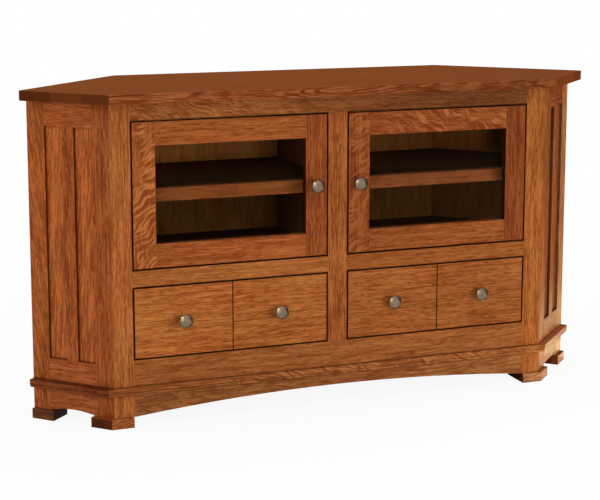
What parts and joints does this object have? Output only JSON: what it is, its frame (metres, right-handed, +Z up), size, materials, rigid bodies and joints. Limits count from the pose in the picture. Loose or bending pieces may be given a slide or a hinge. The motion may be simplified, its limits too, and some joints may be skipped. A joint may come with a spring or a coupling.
{
  "type": "corner cabinet",
  "caption": "Six-sided oak corner media cabinet with glass doors above wide drawers, canted panelled sides, base moulding and pad feet.",
  "frame": {"origin": "on the floor, under the middle of the top slab's bounding box", "axes": "+X to the cabinet's right as its front is faced, +Y from the front towards the back, +Z up"},
  "size_m": [1.5184, 0.475, 0.812],
  "materials": {
    "oak_frame": "quarter-sawn oak, warm red-brown stain, satin lacquer",
    "oak_top": "oak boards, warm red-brown stain, satin lacquer",
    "oak_plywood": "oak-faced plywood, stained",
    "plain_hardwood": "plain hardwood, clear lacquer",
    "clear_glass": "clear float glass",
    "brushed_nickel": "brushed nickel",
    "brass": "satin brass",
    "catch_plastic": "brown moulded plastic",
    "plated_steel": "zinc-plated steel"
  },
  "bodies": {
    "case": {"back_feet": "plain_hardwood", "back_panel": "oak_plywood", "base_moulding_front": "oak_frame", "base_moulding_left": "oak_frame", "base_moulding_right": "oak_frame", "bottom_deck": "oak_plywood", "bottom_rail": "oak_frame", "centre_stile": "oak_frame", "door_catches": "catch_plastic", "door_pivots": "brass", "drawer_guides": "plain_hardwood", "drawer_walls": "oak_plywood", "front_foot_left": "oak_frame", "front_foot_right": "oak_frame", "front_post_left": "oak_frame", "front_post_right": "oak_frame", "mid_rail_left": "oak_frame", "mid_rail_right": "oak_frame", "middle_deck": "oak_plywood", "partition": "oak_frame", "rear_panels": "oak_plywood", "shelf_battens": "plain_hardwood", "shelf_left": "oak_frame", "shelf_right": "oak_frame", "side_back_stile_left": "oak_frame", "side_back_stile_right": "oak_frame", "side_bottom_rail_left": "oak_frame", "side_bottom_rail_right": "oak_frame", "side_foot_left": "oak_frame", "side_foot_right": "oak_frame", "side_front_stile_left": "oak_frame", "side_front_stile_right": "oak_frame", "side_mullion_left": "oak_frame", "side_mullion_right": "oak_frame", "side_panels_left": "oak_frame", "side_panels_right": "oak_frame", "side_top_rail_left": "oak_frame", "side_top_rail_right": "oak_frame", "top_rail": "oak_frame", "top_slab": "oak_top"},
    "door_left": {"door_beads_left": "oak_frame", "door_glass_left": "clear_glass", "door_hinge_stile_left": "oak_frame", "door_knob_left": "brushed_nickel", "door_knob_stile_left": "oak_frame", "door_rails_left": "oak_frame", "strike_plate_left": "plated_steel"},
    "door_right": {"door_beads_right": "oak_frame", "door_glass_right": "clear_glass", "door_hinge_stile_right": "oak_frame", "door_knob_right": "brushed_nickel", "door_knob_stile_right": "oak_frame", "door_rails_right": "oak_frame", "strike_plate_right": "plated_steel"},
    "drawer_left": {"drawer_box_left": "plain_hardwood", "drawer_front_left": "oak_frame", "drawer_knobs_left": "brushed_nickel"},
    "drawer_right": {"drawer_box_right": "plain_hardwood", "drawer_front_right": "oak_frame", "drawer_knobs_right": "brushed_nickel"}
  },
  "joints": [
    {"name": "door_left_hinge", "type": "hinge", "parent": "case", "child": "door_left", "pos_m": [-0.5128, -0.1875, 0.564], "axis": [0, 0, -1], "range_deg": [0, 100]},
    {"name": "door_right_hinge", "type": "hinge", "parent": "case", "child": "door_right", "pos_m": [0.5128, -0.1875, 0.564], "axis": [0, 0, 1], "range_deg": [0, 100]},
    {"name": "drawer_left_slide", "type": "slide", "parent": "case", "child": "drawer_left", "axis": [0, -1, 0], "range_m": [0, 0.25]},
    {"name": "drawer_right_slide", "type": "slide", "parent": "case", "child": "drawer_right", "axis": [0, -1, 0], "range_m": [0, 0.25]}
  ]
}
